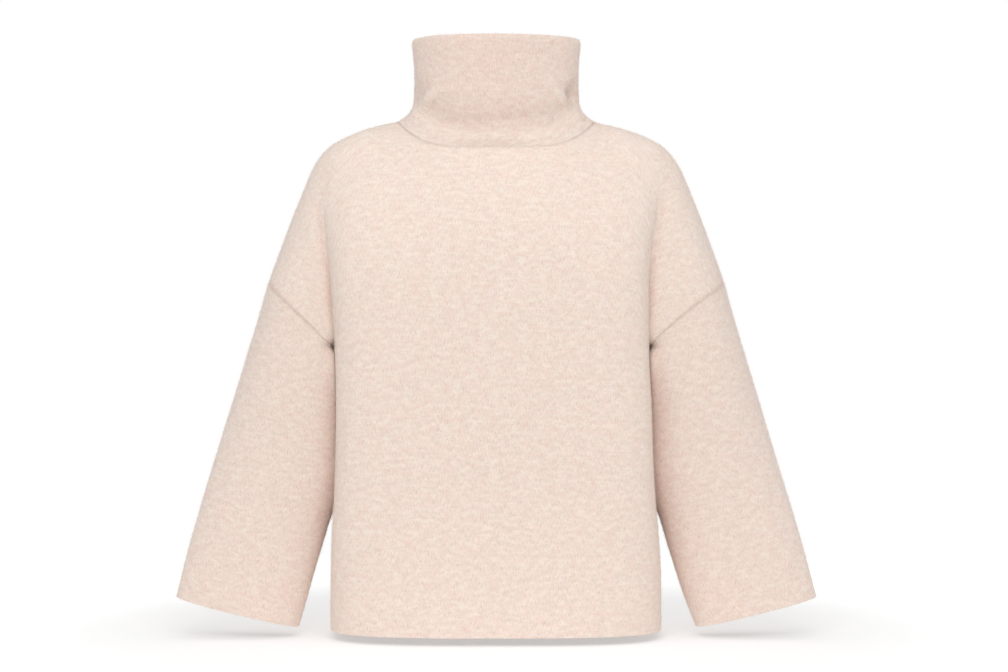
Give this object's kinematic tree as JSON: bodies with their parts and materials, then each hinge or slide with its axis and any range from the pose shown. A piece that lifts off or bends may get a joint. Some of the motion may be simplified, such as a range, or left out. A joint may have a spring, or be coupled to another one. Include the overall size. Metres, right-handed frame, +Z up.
{
  "type": "mock neck sweater",
  "caption": "Boxy drop-shoulder sweater with a tall stand-up collar and wide sleeves, worn form, hollow, open at neck, hem and cuffs.",
  "frame": {"origin": "middle of the neck opening at the height of the shoulders' tops, where the wearer holds the garment", "axes": "+Z up, -Y to the front, +X to the wearer's left"},
  "size_m": [0.753, 0.234, 0.69],
  "materials": {
    "brushed_wool_knit": "felted, softly brushed wool knit in a pale oat and rose melange, matt with a short nap"
  },
  "bodies": {
    "root": {"front": "brushed_wool_knit", "back": "brushed_wool_knit", "sleeve_right": "brushed_wool_knit", "sleeve_left": "brushed_wool_knit", "collar": "brushed_wool_knit"}
  },
  "joints": []
}
